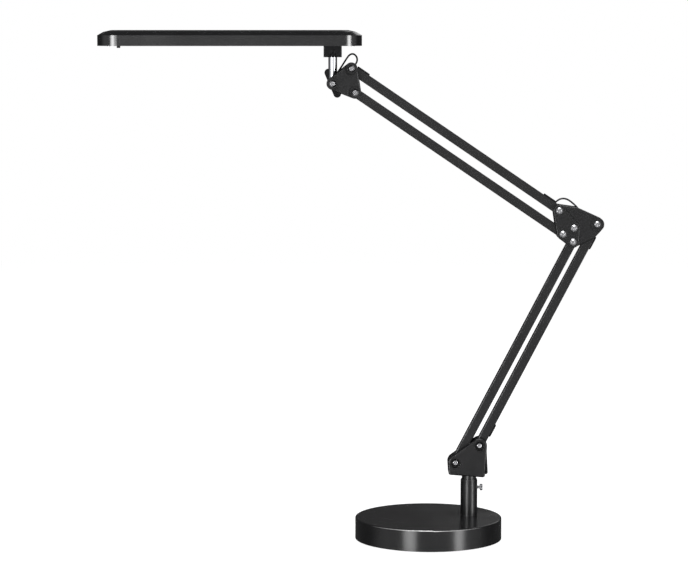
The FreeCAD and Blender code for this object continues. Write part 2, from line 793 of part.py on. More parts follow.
def make_arms():
    lower = "Sizes.lower_length"
    upper = "Sizes.upper_length"
    lower_rise = "Sizes.lower_rise"
    upper_rise = "Sizes.upper_rise"
    far = "(Sizes.lead_window_start + Sizes.lead_window_length)"
    link_windows = [(f"{lower} - {far}", 1)]
    arm_windows = [("Sizes.lead_window_start", -1), (f"{upper} - {far}", -1)]
    tubes = (
        ("lower_arm", A1, lower, lower_rise, ()),
        ("lower_link", A2, lower, lower_rise, link_windows),
        ("upper_arm", P3, upper, upper_rise, arm_windows),
        ("upper_link", P4, upper, upper_rise, ()),
    )
    for name, pivot, length, rise, windows in tubes:
        keep(name + "_tube", on_arm(square_tube(name, length, windows), pivot, rise))
        keep(name + "_bushes", on_arm(bushes(length), pivot, rise))
    lower_starts = ("Sizes.lower_guide_start", f"{lower} - Sizes.lower_guide_start - Sizes.guide_length")
    upper_starts = ("Sizes.upper_guide_near", f"{upper} - Sizes.upper_guide_far - Sizes.guide_length")
    keep("lower_lead_guides", on_arm(guides(lower_starts), A2, lower_rise))
    keep("upper_lead_guides", on_arm(guides(upper_starts), P3, upper_rise))
    near = "Sizes.lead_near"
    link_run = inner_lead(near, f"{lower} - {near}", "Sizes.lead_in_link_z")
    arm_run = inner_lead(near, f"{upper} - {near}", "Sizes.lead_in_arm_z")
    keep("lead_lower_run", on_arm(link_run, A2, lower_rise))
    keep("lead_upper_run", on_arm(arm_run, P3, upper_rise))


# ---- elbow ----


def make_elbow():
    lobe = "Sizes.elbow_lobe"
    end = "Sizes.elbow_end_lobe"
    seat = "Sizes.bush_flange"
    big_face = f"({FACE} - Sizes.link_plate)"
    circles = [
        (*P1, lobe),
        (f"{P2[0]} + Sizes.gusset_x", f"{P2[1]} + Sizes.gusset_z", "Sizes.gusset_round"),
        (*P2, end),
        (f"{P3[0]} + Sizes.crown_x", f"{P3[1]} + Sizes.crown_z", "Sizes.crown_round"),
        (*P3, lobe),
    ]
    seats = [(*pivot, seat, None) for pivot in (P1, P3, P5)]
    seats.append((*P2, end, f"{end} + Sizes.dish_margin"))
    boss_radius = f"({seat} + Sizes.boss_margin)"
    clearance = cylinder(
        (P4[0], f"-({REACH})", P4[1]), f"{boss_radius} + Sizes.boss_margin", REACH
    )
    big = tray(circles, seats, big_face, [clearance])
    small_outline = hull(f"-{big_face}", [(*pivot, lobe) for pivot in (P1, P5, P3, P4)])
    small_block = rounded_front(pull(small_outline, "Sizes.link_plate"), FACE, "Sizes.link_round")
    boss = cylinder((P4[0], f"-{big_face}", P4[1]), boss_radius, f"{big_face} - ({SEAT})")
    holes = [cylinder((x, f"-({REACH})", z), HOLE, REACH) for x, z in (P1, P3, P4, P5)]
    small = cut(fuse(small_block, boss), *holes)
    for name, plate in (("plate", big), ("link_plate", small)):
        keep("elbow_front_" + name, at_post(plate))
        keep("elbow_rear_" + name, at_post(mirrored(plate)))
    spacer = ring((P5[0], f"-({SEAT})", P5[1]), "Sizes.spacer_radius", HOLE, f"2 * ({SEAT})")
    keep("elbow_spacer", at_post(spacer))
    screws_and_nuts("elbow", (P1, P2, P3, P4, P5), (FACE, SEAT_FACE, FACE, FACE, FACE))


# ---- head bracket, stem and knob ----


def make_head_bracket():
    lobe = "Sizes.head_lobe"
    circles = [(*pivot, lobe) for pivot in (H1, H3, H2)]
    seats = [(*pivot, lobe, f"{lobe} + Sizes.dish_margin") for pivot in (H1, H2, H3)]
    plate = tray(circles, seats, FACE)
    keep("head_bracket_front_plate", at_post(plate))
    keep("head_bracket_rear_plate", at_post(mirrored(plate)))
    screws_and_nuts("head_bracket", (H2, H3), (SEAT_FACE, SEAT_FACE))
    bolt = screw(*H1, SEAT_FACE, f"{FACE} + Sizes.knob_thickness - Sizes.knob_cover")
    keep("tilt_bolt", at_post(bolt))


def make_stem():
    x, z = H1
    half = "Sizes.eye_half_width"
    low = f"{z} + Sizes.neck_start"
    eye = cylinder((x, f"-{half}", z), "Sizes.eye_radius", f"2 * {half}")
    plug = cylinder((x, "0", low), "Sizes.stem_radius - Sizes.stem_wall", "Sizes.plug_length", "z")
    neck = cylinder((x, "0", low), "Sizes.stem_radius", "Sizes.eye_radius - Sizes.neck_step", "z")
    bolt_hole = cylinder((x, f"-({REACH})", z), HOLE, f"2 * {REACH}")
    keep("stem_eye", at_post(cut(fuse(eye, plug, neck), bolt_hole)))
    foot = f"({low} + Sizes.eye_radius - Sizes.neck_step)"
    clip_z = "(Places.head_z + Sizes.bezel + Sizes.clip_gap)"
    top = f"({clip_z} + Sizes.clip_thickness + 1)"
    tube = ring((x, "0", foot), "Sizes.stem_radius", "Sizes.stem_radius - Sizes.stem_wall", f"{top} - {foot}", "z")
    side_hole = cylinder((x, "0", f"{z} + Sizes.lead_hole_z"), "Sizes.lead_hole", REACH, "x")
    keep("head_stem", at_post(cut(tube, side_hole)))
    clip = ring(
        (x, "0", clip_z), "Sizes.stem_radius + Sizes.clip_out", "Sizes.stem_radius", "Sizes.clip_thickness", "z"
    )
    keep("stem_clip", at_post(clip))


def make_knob():
    x, z = H1
    reach_x = "Sizes.knob_reach * cos(Sizes.knob_angle)"
    reach_z = "Sizes.knob_reach * sin(Sizes.knob_angle)"
    tips = [(f"{x} {sign} {reach_x}", f"{z} {sign} {reach_z}", "Sizes.knob_tip") for sign in "+-"]
    back = f"({FACE} + Sizes.knob_gap + Sizes.knob_thickness)"
    hub_start = f"({SEAT_FACE} + Sizes.moving_gap)"
    wing = pull(hull(back, tips), "Sizes.knob_thickness")
    hub = cylinder((x, hub_start, z), "Sizes.knob_hub", f"{back} + Sizes.knob_hub_out - {hub_start}")
    bore = cylinder((x, "0", z), HOLE, f"{FACE} + Sizes.knob_thickness")
    keep("tilt_knob", at_post(cut(fuse(wing, hub), bore)))


# ---- head ----

HEAD_LEFT = f"({H1[0]} + Sizes.head_right - Sizes.head_length)"
HEAD_LOW = "Places.head_z"
PANEL_LOW = "(Places.head_z + Sizes.bezel)"
WALL_TOP = "(Places.head_z + Sizes.head_wall_height)"
CROWN_TOP = f"({WALL_TOP} + Sizes.head_crown)"
WINDOW_X = f"({HEAD_LEFT} + Sizes.window_left)"
BUTTON_X = f"({HEAD_LEFT} + Sizes.button_x)"
PANEL_TOP = f"({PANEL_LOW} + Sizes.diffuser_thickness)"
BOARD_LOW = f"({PANEL_TOP} + Sizes.board_gap)"
BOARD_X = f"({WINDOW_X} + (Sizes.window_length - Sizes.board_length) / 2)"


def head_outline(at_z, inset):
    """The head's rounded outline seen from above, drawn in by an inset."""
    sketch = doc.addObject("Sketcher::SketchObject", "Section")
    put(sketch, ("0", "0", at_z))
    right = f"({H1[0]} + Sizes.head_right - Sizes.head_corner)"
    left = f"({HEAD_LEFT} + Sizes.head_corner)"
    deep = "(Sizes.head_depth / 2 - Sizes.head_corner)"
    radius = f"Sizes.head_corner - ({inset})"
    spots = [(right, "-" + deep), (right, deep), (left, deep), (left, "-" + deep)]
    size = number(radius)
    seeds = [Vector(number(x), number(y), 0) for x, y in spots]
    for i, centre in enumerate(seeds):
        start = (i - 1) * math.pi / 2
        circle = Part.Circle(centre, Vector(0, 0, 1), size)
        sketch.addGeometry(Part.ArcOfCircle(circle, start, start + math.pi / 2))
        normal = Vector(math.cos(i * math.pi / 2), math.sin(i * math.pi / 2), 0)
        sketch.addGeometry(Part.LineSegment(centre + normal * size, seeds[(i + 1) % 4] + normal * size))
    for i, (x, y) in enumerate(spots):
        sketch.addConstraint(Sketcher.Constraint("Tangent", 2 * i, 2, 2 * i + 1, 1))
        sketch.addConstraint(Sketcher.Constraint("Tangent", 2 * i + 1, 2, (2 * i + 2) % 8, 1))
        for kind, text, seed in (("DistanceX", x, seeds[i].x), ("DistanceY", y, seeds[i].y)):
            index = sketch.addConstraint(Sketcher.Constraint(kind, -1, 1, 2 * i, 3, seed))
            sketch.setExpression(f"Constraints[{index}]", text)
        index = sketch.addConstraint(Sketcher.Constraint("Radius", 2 * i, size))
        sketch.setExpression(f"Constraints[{index}]", radius)
    return sketch


def loft(*sections):
    thing = doc.addObject("Part::Loft", "Loft")
    thing.Sections = list(sections)
    thing.Solid = True
    thing.Ruled = True
    return thing


def make_head_shell():
    skin = "Sizes.head_skin"
    ease = "Sizes.skin_ease"
    shoulder = f"{WALL_TOP} + Sizes.shoulder_rise"
    outer = loft(
        head_outline(HEAD_LOW, "0"),
        head_outline(WALL_TOP, "0"),
        head_outline(shoulder, "Sizes.shoulder_inset"),
        head_outline(CROWN_TOP, "Sizes.crown_inset"),
    )
    inner = loft(
        head_outline(f"{HEAD_LOW} - 1", skin),
        head_outline(f"{WALL_TOP} - {ease}", skin),
        head_outline(f"{shoulder} - {skin}", f"Sizes.shoulder_inset + {ease}"),
        head_outline(f"{CROWN_TOP} - {skin}", f"Sizes.crown_inset + {ease}"),
    )
    notch = box(
        (f"{HEAD_LEFT} + Sizes.notch_x - Sizes.notch_length", "-Sizes.head_depth / 2 - 1", HEAD_LOW),
        "Sizes.notch_length",
        f"{skin} + 2",
        "Sizes.notch_height",
    )
    keep("head_shell", at_post(cut(outer, inner, notch)))


def window_slab(at_z, height, margin="0"):
    """A slab over the light window, wider all round by a margin."""
    at = (f"{WINDOW_X} - {margin}", f"-Sizes.window_depth / 2 - {margin}", at_z)
    return box(at, f"Sizes.window_length + 2 * {margin}", f"Sizes.window_depth + 2 * {margin}", height)


def make_head_bezel():
    """The flat floor of the head, with its window, stem hole, button hole and screws."""
    frame = pull_up(head_outline(HEAD_LOW, "Sizes.head_skin"), "Sizes.bezel")
    window = window_slab(f"{HEAD_LOW} - 1", REACH)
    collar = cylinder((H1[0], "0", HEAD_LOW), "Sizes.stem_radius + Sizes.collar_wall", REACH, "z")
    button_hole = cylinder((BUTTON_X, "0", HEAD_LOW), "Sizes.button_radius + Sizes.button_gap", REACH, "z")
    spots = [
        (x, f"{sign}Sizes.head_screw_y")
        for x in (f"{HEAD_LEFT} + Sizes.head_screw_left", f"{H1[0]} + Sizes.head_right - Sizes.head_screw_right")
        for sign in ("", "-")
    ]
    low = f"{HEAD_LOW} - Sizes.head_screw_head"
    screws = group(
        *[cylinder((x, y, low), "Sizes.head_screw_radius", "Sizes.head_screw_length", "z") for x, y in spots]
    )
    keep("head_bezel", at_post(cut(frame, window, collar, button_hole, screws)))
    keep("head_screws", at_post(screws))


def pull_up(sketch, height):
    thing = doc.addObject("Part::Extrusion", "Slab")
    thing.Base = sketch
    thing.DirMode = "Normal"
    thing.Solid = True
    bind(thing, LengthFwd=height)
    return thing


def make_head_block():
    x = H1[0]
    low = f"({HEAD_LOW} - Sizes.block_height)"
    corner = ("Sizes.block_width", "Sizes.block_depth", "Sizes.block_height")
    block = box((f"{x} - Sizes.block_width / 2", "-Sizes.block_depth / 2", low), *corner)
    doc.recompute()
    eased = doc.addObject("Part::Fillet", "Eased")
    eased.Base = block
    radius = number("Sizes.block_round")
    height = number("Sizes.block_height")
    uprights = [i for i, e in enumerate(block.Shape.Edges, 1) if e.BoundBox.ZLength > height - NEAR]
    eased.Edges = [(i, radius, radius) for i in uprights]
    boss_y = "-Sizes.block_depth / 2 + Sizes.block_boss - Sizes.block_boss_out"
    boss = cone(
        (x, boss_y, low),
        "Sizes.block_boss",
        "Sizes.block_boss - Sizes.block_boss_out",
        "Sizes.block_height * Sizes.boss_share",
        "z",
    )
    collar = cylinder((x, "0", HEAD_LOW), "Sizes.stem_radius + Sizes.collar_wall", "Sizes.bezel", "z")
    bore = cylinder((x, "0", f"{low} - 1"), "Sizes.stem_radius + Sizes.running_gap", REACH, "z")
    keep("head_block", at_post(cut(fuse(eased, boss, collar), bore)))


def make_light_panel():
    panel = window_slab(PANEL_LOW, "Sizes.diffuser_thickness", "Sizes.diffuser_lip")
    lens = window_slab(f"{HEAD_LOW} + Sizes.diffuser_inset", "Sizes.bezel", "-Sizes.diffuser_fit")
    keep("diffuser", at_post(fuse(panel, lens)))
    frame = window_slab(PANEL_TOP, "Sizes.board_gap")
    opening = box(
        (BOARD_X, "-Sizes.board_depth / 2", PANEL_TOP), "Sizes.board_length", "Sizes.board_depth", "Sizes.board_gap"
    )
    keep("reflector_frame", at_post(cut(frame, opening)))
    keep("led_board", at_post(window_slab(BOARD_LOW, "Sizes.board_thickness")))
    chips = []
    for row in range(LED_ROWS):
        for column in range(LED_COLUMNS):
            x = f"{BOARD_X} + Sizes.board_length * {(column + 0.5) / LED_COLUMNS} - Sizes.led_size / 2"
            y = f"Sizes.board_depth * {(row + 0.5) / LED_ROWS - 0.5} - Sizes.led_size / 2"
            z = f"{BOARD_LOW} - Sizes.led_height"
            chips.append(box((x, y, z), "Sizes.led_size", "Sizes.led_size", "Sizes.led_height"))
    keep("led_chips", at_post(group(*chips)))
    spreader_low = f"({BOARD_LOW} + Sizes.board_thickness)"
    spreader = window_slab(spreader_low, "Sizes.spreader_thickness")
    spreader_top = f"({spreader_low} + Sizes.spreader_thickness)"
    studs = [
        cylinder(
            (f"{WINDOW_X} + {share} * Sizes.window_length", "0", spreader_top),
            "Sizes.stud_radius",
            f"{CROWN_TOP} - Sizes.head_skin - {spreader_top}",
            "z",
        )
        for share in (0.1, 0.5, 0.9)
    ]
    keep("heat_spreader", at_post(fuse(spreader, *studs)))


def make_button():
    low = f"({HEAD_LOW} - Sizes.button_out)"
    flange_low = f"({PANEL_LOW} + Sizes.button_seat_gap)"
    cap = cylinder((BUTTON_X, "0", low), "Sizes.button_radius", f"{flange_low} - {low}", "z")
    flange = cylinder(
        (BUTTON_X, "0", flange_low), "Sizes.button_radius + Sizes.button_flange", "Sizes.button_flange_thickness", "z"
    )
    keep("power_button", at_post(fuse(cap, flange)))
    switch_low = (
        f"({flange_low} + Sizes.button_flange_thickness + Sizes.button_travel + Sizes.button_seat_gap)"
    )
    size = "Sizes.switch_size"
    switch = box((f"{BUTTON_X} - {size} / 2", f"-{size} / 2", switch_low), size, size, "Sizes.switch_height")
    carrier_low = f"({switch_low} + Sizes.switch_height)"
    carrier = box(
        (f"{BUTTON_X} - Sizes.carrier_length / 2", "-Sizes.carrier_depth / 2", carrier_low),
        "Sizes.carrier_length",
        "Sizes.carrier_depth",
        "Sizes.carrier_thickness",
    )
    legs = [
        cylinder(
            (f"{BUTTON_X} + Sizes.carrier_leg_x", f"{sign}Sizes.carrier_leg_y", PANEL_LOW),
            "Sizes.carrier_leg_radius",
            f"{carrier_low} - {PANEL_LOW}",
            "z",
        )
        for sign in ("", "-")
    ]
    keep("button_board", at_post(fuse(carrier, switch, *legs)))
    driver = box(
        (f"{H1[0]} + Sizes.driver_x", "Sizes.driver_y", PANEL_LOW),
        "Sizes.driver_length",
        "Sizes.driver_depth",
        "Sizes.driver_height",
    )
    keep("led_driver", at_post(driver))


# ---- the lead's bends between its housings ----

# Each route is a list of points seen from the post's axis.
BRACKET_ROUTE = [
    (0.0, 0.0, 94.3),
    (0.2, 0.0, 98.6),
    (1.6, 0.0, 103.4),
    (4.4, 0.0, 108.6),
    (7.6, 0.0, 113.8),
    (10.0, 0.0, 118.9),
    (11.55, 0.0, 123.5),
]
ELBOW_ROUTE = [
    (117.0, 0.0, 461.4),
    (120.4, 0.3, 464.2),
    (125.4, 0.8, 465.6),
    (131.4, 1.4, 464.6),
    (138.0, 2.0, 460.2),
    (145.5, 2.2, 453.2),
    (150.8, 1.8, 445.2),
    (153.6, 1.0, 436.5),
    (155.0, 0.4, 427.5),
    (156.8, 0.0, 419.5),
    (160.6, 0.0, 412.5),
]
HEAD_ROUTE = [
    (-156.4, 0.0, 646.0),
    (-153.9, 0.0, 649.8),
    (-153.4, 0.0, 654.6),
    (-155.4, 0.0, 658.8),
    (-159.6, 0.0, 661.2),
    (-164.2, 0.2, 659.4),
    (-168.0, 0.4, 654.2),
    (-172.2, 0.5, 647.6),
    (-176.4, 0.5, 641.2),
    (-180.2, 0.3, 635.6),
    (-184.4, 0.0, 632.4),
]
BEND_SHARE = 0.45


def lead_path(points):
    """Straight runs joined by tangent arcs, and the arcs' radii."""
    edges = []
    radii = []
    start = points[0]
    for before, corner, after in zip(points, points[1:], points[2:]):
        back = before - corner
        ahead = after - corner
        reach = BEND_SHARE * min(back.Length, ahead.Length)
        half_turn = (math.pi - back.getAngle(ahead)) / 2
        radius = reach / math.tan(half_turn)
        back.normalize()
        ahead.normalize()
        first = corner + back * reach
        last = corner + ahead * reach
        inward = (back + ahead).normalize()
        middle = corner + inward * (radius / math.cos(half_turn) - radius)
        edges.append(Part.LineSegment(start, first).toShape())
        edges.append(Part.Arc(first, middle, last).toShape())
        radii.append(radius)
        start = last
    edges.append(Part.LineSegment(start, points[-1]).toShape())
    return Part.Wire(edges), radii


def make_lead(name, route):
    points = [Vector(*spot) for spot in route]
    path, radii = lead_path(points)
    radius = number("Sizes.lead_radius")
    section = Part.Wire([Part.Circle(points[0], points[1] - points[0], radius).toShape()])
    shape = path.makePipeShell([section], True, False)
    ratio = shape.Volume / (math.pi * radius**2 * path.Length)
    print(name, "length", round(path.Length, 1), "volume over section times length", round(ratio, 4))
    print(name, "bend radii", [round(r, 1) for r in radii])
    thing = doc.addObject("Part::Feature", name)
    thing.Shape = shape
    keep(name, at_post(thing))


def export():
    doc.recompute()
    for thing in doc.Objects:
        if {"Invalid", "Error"} & set(thing.State):
            raise RuntimeError(f"{thing.Label} ({thing.Name}) failed: {thing.State}")
    for node, thing in parts.items():
        shape = thing.Shape
        if shape.isNull() or not shape.isValid() or not shape.Solids:
            raise RuntimeError(f"{node} has no valid solid")
    os.makedirs("parts", exist_ok=True)
    for node, thing in parts.items():
        thing.Shape.exportStep(f"parts/{node}.step")
    print(len(parts), "pieces written")


make_base_shell()
make_base_inside()
make_inlet()
make_post()
make_thumbscrew()
make_lower_bracket()
make_arms()
make_elbow()
make_head_bracket()
make_stem()
make_knob()
make_head_shell()
make_head_bezel()
make_head_block()
make_light_panel()
make_button()
make_lead("lead_bracket_loop", BRACKET_ROUTE)
make_lead("lead_elbow_loop", ELBOW_ROUTE)
make_lead("lead_head_loop", HEAD_ROUTE)
export()
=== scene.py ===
import json
import math

import bmesh
import bpy
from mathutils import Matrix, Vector

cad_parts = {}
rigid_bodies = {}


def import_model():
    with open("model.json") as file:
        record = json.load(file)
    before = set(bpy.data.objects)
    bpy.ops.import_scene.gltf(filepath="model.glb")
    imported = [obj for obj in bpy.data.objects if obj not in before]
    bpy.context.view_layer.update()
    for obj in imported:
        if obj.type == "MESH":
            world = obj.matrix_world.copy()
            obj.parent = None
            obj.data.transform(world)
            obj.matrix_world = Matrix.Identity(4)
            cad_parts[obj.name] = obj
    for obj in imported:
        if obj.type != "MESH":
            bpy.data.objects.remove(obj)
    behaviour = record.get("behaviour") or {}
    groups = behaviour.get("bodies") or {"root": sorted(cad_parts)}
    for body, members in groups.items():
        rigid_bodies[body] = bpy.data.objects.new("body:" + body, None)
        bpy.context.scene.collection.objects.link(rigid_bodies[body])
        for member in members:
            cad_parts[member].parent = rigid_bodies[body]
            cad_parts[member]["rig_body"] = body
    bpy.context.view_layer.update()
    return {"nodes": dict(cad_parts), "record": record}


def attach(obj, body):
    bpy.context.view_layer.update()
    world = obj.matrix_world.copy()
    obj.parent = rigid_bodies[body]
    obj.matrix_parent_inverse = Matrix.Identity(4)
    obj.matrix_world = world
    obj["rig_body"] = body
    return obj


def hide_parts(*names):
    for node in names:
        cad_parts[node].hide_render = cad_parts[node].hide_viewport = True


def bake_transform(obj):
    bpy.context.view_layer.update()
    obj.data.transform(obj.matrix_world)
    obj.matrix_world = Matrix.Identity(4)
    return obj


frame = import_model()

# Looks for a swing-arm desk lamp: glossy weighted base, satin black square tubes and
# pressed plates, bright screws, a chrome stem and a slim light head.

MM = 0.001


# ---- camera, as the photograph was taken: far off, a little above, looking slightly down ----

CAMERA_PLACE = (-0.1154, -3.528, 0.7089)
CAMERA_PITCH = 5.809
CAMERA_LENS = 136.74
SENSOR_WIDTH = 36.0


def make_camera():
    data = bpy.data.cameras.new("camera")
    data.sensor_width = SENSOR_WIDTH
    data.lens = CAMERA_LENS
    camera = bpy.data.objects.new("camera", data)
    camera.location = CAMERA_PLACE
    camera.rotation_euler = (math.radians(90 - CAMERA_PITCH), 0, 0)
    bpy.context.scene.collection.objects.link(camera)
    bpy.context.scene.camera = camera


# ---- light: soft boxes on both sides, above and behind, in a pale room ----

ROOM_LEVEL = 0.30
LAMP_AIM = Vector((0.0, 0.0, 0.12))
LEFT_AZIMUTH = -30
RIGHT_AZIMUTH = 47

# What reflections see: levels, and where one fades into the next along a direction's axis.
BACK_SHINE = 0.06
FRONT_SHINE = 0.8
OVERHEAD_SHINE = 6.0
LEFT_SHINE = 15.0
RIGHT_SHINE = 14.0
WALLS_FADE = (-0.35, 0.30)
CEILING_FADE = (0.80, 0.93)
CEILING_BACK_FADE = (-0.30, -0.05)
WINDOW_EDGE = math.cos(math.radians(12.5))
WINDOW_CORE = math.cos(math.radians(7))


def soft_box(name, azimuth, distance, height, width, tall, power):
    """A rectangular lamp seen from the object at an azimuth from the camera's side."""
    data = bpy.data.lights.new(name, "AREA")
    data.shape = "RECTANGLE"
    data.size = width
    data.size_y = tall
    data.energy = power
    lamp = bpy.data.objects.new(name, data)
    turn = math.radians(azimuth)
    lamp.location = (distance * math.sin(turn), -distance * math.cos(turn), height)
    aim = LAMP_AIM - lamp.location
    lamp.rotation_euler = aim.to_track_quat("-Z", "Y").to_euler()
    bpy.context.scene.collection.objects.link(lamp)


def make_lights():
    soft_box("left_box", LEFT_AZIMUTH, distance=2.6, height=0.12, width=0.95, tall=1.35, power=30)
    soft_box("right_box", RIGHT_AZIMUTH, distance=2.6, height=0.12, width=0.72, tall=1.35, power=24)
    soft_box("top_box", 0, distance=0.6, height=2.4, width=1.2, tall=0.5, power=30)
    soft_box("back_box", 160, distance=2.4, height=1.5, width=1.6, tall=1.4, power=8)


def joined(tree, operation, first, second):
    """One arithmetic step between two outputs or numbers."""
    node = tree.nodes.new("ShaderNodeMath")
    node.operation = operation
    for socket, value in zip(node.inputs, (first, second)):
        if isinstance(value, float):
            socket.default_value = value
        else:
            tree.links.new(value, socket)
    return node.outputs[0]


def between(tree, source, low, low_value, high, high_value, smooth=False):
    """A value carried from one range to another, kept inside it."""
    node = tree.nodes.new("ShaderNodeMapRange")
    if smooth:
        node.interpolation_type = "SMOOTHSTEP"
    node.inputs["From Min"].default_value = low
    node.inputs["From Max"].default_value = high
    node.inputs["To Min"].default_value = low_value
    node.inputs["To Max"].default_value = high_value
    tree.links.new(source, node.inputs["Value"])
    return node.outputs["Result"]


def fade(tree, source, reach, first, last):
    """A smooth step from one level to another over a reach of the source."""
    return between(tree, source, reach[0], first, reach[1], last, smooth=True)


def seen_level(tree, shine):
    """White for camera and transmission rays, and a given level for glossy rays."""
    path = tree.nodes.new("ShaderNodeLightPath")
    seen = path.outputs["Is Camera Ray"]
    through = path.outputs["Is Transmission Ray"]
    plain = joined(tree, "MAXIMUM", seen, through)
    mirrored = joined(tree, "MULTIPLY", path.outputs["Is Glossy Ray"], shine)
    return joined(tree, "MAXIMUM", plain, mirrored)


def window(tree, direction, azimuth, level):
    """A round bright patch of the room at an azimuth from the camera's side."""
    turn = math.radians(azimuth)
    facing = tree.nodes.new("ShaderNodeVectorMath")
    facing.operation = "DOT_PRODUCT"
    facing.inputs[1].default_value = (math.sin(turn), -math.cos(turn), 0.0)
    tree.links.new(direction, facing.inputs[0])
    return fade(tree, facing.outputs["Value"], (WINDOW_EDGE, WINDOW_CORE), 0.0, level)


def room_shine(tree):
    """The room's level in reflections: bright in front and overhead, dim behind."""
    direction = tree.nodes.new("ShaderNodeTexCoord").outputs["Generated"]
    parts = tree.nodes.new("ShaderNodeSeparateXYZ")
    tree.links.new(direction, parts.inputs[0])
    walls = fade(tree, parts.outputs["Y"], WALLS_FADE, FRONT_SHINE, BACK_SHINE)
    ceiling = fade(tree, parts.outputs["Z"], CEILING_FADE, 0.0, OVERHEAD_SHINE)
    front = fade(tree, parts.outputs["Y"], CEILING_BACK_FADE, 1.0, 0.0)
    above = joined(tree, "MULTIPLY", ceiling, front)
    left = window(tree, direction, LEFT_AZIMUTH, LEFT_SHINE)
    right = window(tree, direction, RIGHT_AZIMUTH, RIGHT_SHINE)
    surround = joined(tree, "ADD", walls, above)
    windows = joined(tree, "ADD", left, right)
    return joined(tree, "ADD", surround, windows)


def make_world():
    world = bpy.data.worlds.new("room")
    bpy.context.scene.world = world
    world.use_nodes = True
    tree = world.node_tree
    tree.nodes.clear()
    out = tree.nodes.new("ShaderNodeOutputWorld")
    room = tree.nodes.new("ShaderNodeBackground")
    room.inputs["Color"].default_value = (1, 1, 1, 1)
    path = tree.nodes.new("ShaderNodeLightPath")
    even = joined(tree, "MULTIPLY", path.outputs["Is Diffuse Ray"], ROOM_LEVEL)
    level = joined(tree, "MAXIMUM", seen_level(tree, room_shine(tree)), even)
    tree.links.new(level, room.inputs["Strength"])
    tree.links.new(room.outputs[0], out.inputs["Surface"])


FLOOR_SIZE = 8.0
FLOOR_GLOW = 0.86
FLOOR_COLOUR = (0.42, 0.42, 0.42, 1)
FLOOR_DROP = 0.0002


def make_floor():
    """A pale floor that takes shadows, and that reflections and lamps pass through."""
    mesh = bpy.data.meshes.new("floor")
    half = FLOOR_SIZE / 2
    corners = [(-half, -half), (half, -half), (half, half), (-half, half)]
    mesh.from_pydata([(x, y, -FLOOR_DROP) for x, y in corners], [], [(0, 1, 2, 3)])
    floor = bpy.data.objects.new("floor", mesh)
    bpy.context.scene.collection.objects.link(floor)
    material = bpy.data.materials.new("pale_floor")
    material.use_nodes = True
    tree = material.node_tree
    tree.nodes.clear()
    out = tree.nodes.new("ShaderNodeOutputMaterial")
    add = tree.nodes.new("ShaderNodeAddShader")
    glow = tree.nodes.new("ShaderNodeEmission")
    body = tree.nodes.new("ShaderNodeBsdfDiffuse")
    body.inputs["Color"].default_value = FLOOR_COLOUR
    level = joined(tree, "MULTIPLY", seen_level(tree, FRONT_SHINE), FLOOR_GLOW)
    tree.links.new(level, glow.inputs["Strength"])
    tree.links.new(glow.outputs[0], add.inputs[0])
    tree.links.new(body.outputs[0], add.inputs[1])
    tree.links.new(add.outputs[0], out.inputs["Surface"])
    mesh.materials.append(material)
    floor.visible_glossy = False
    floor.visible_shadow = False


# ---- materials: noise scales count features per metre, and depths are in metres ----

SPECK_EDGE = 1.6
DUST_COLOUR = (0.30, 0.30, 0.30)
# Pale colour of the painted highlight on the front of the base's top rim.
RIM_HIGHLIGHT_COLOUR = (0.55, 0.55, 0.55)


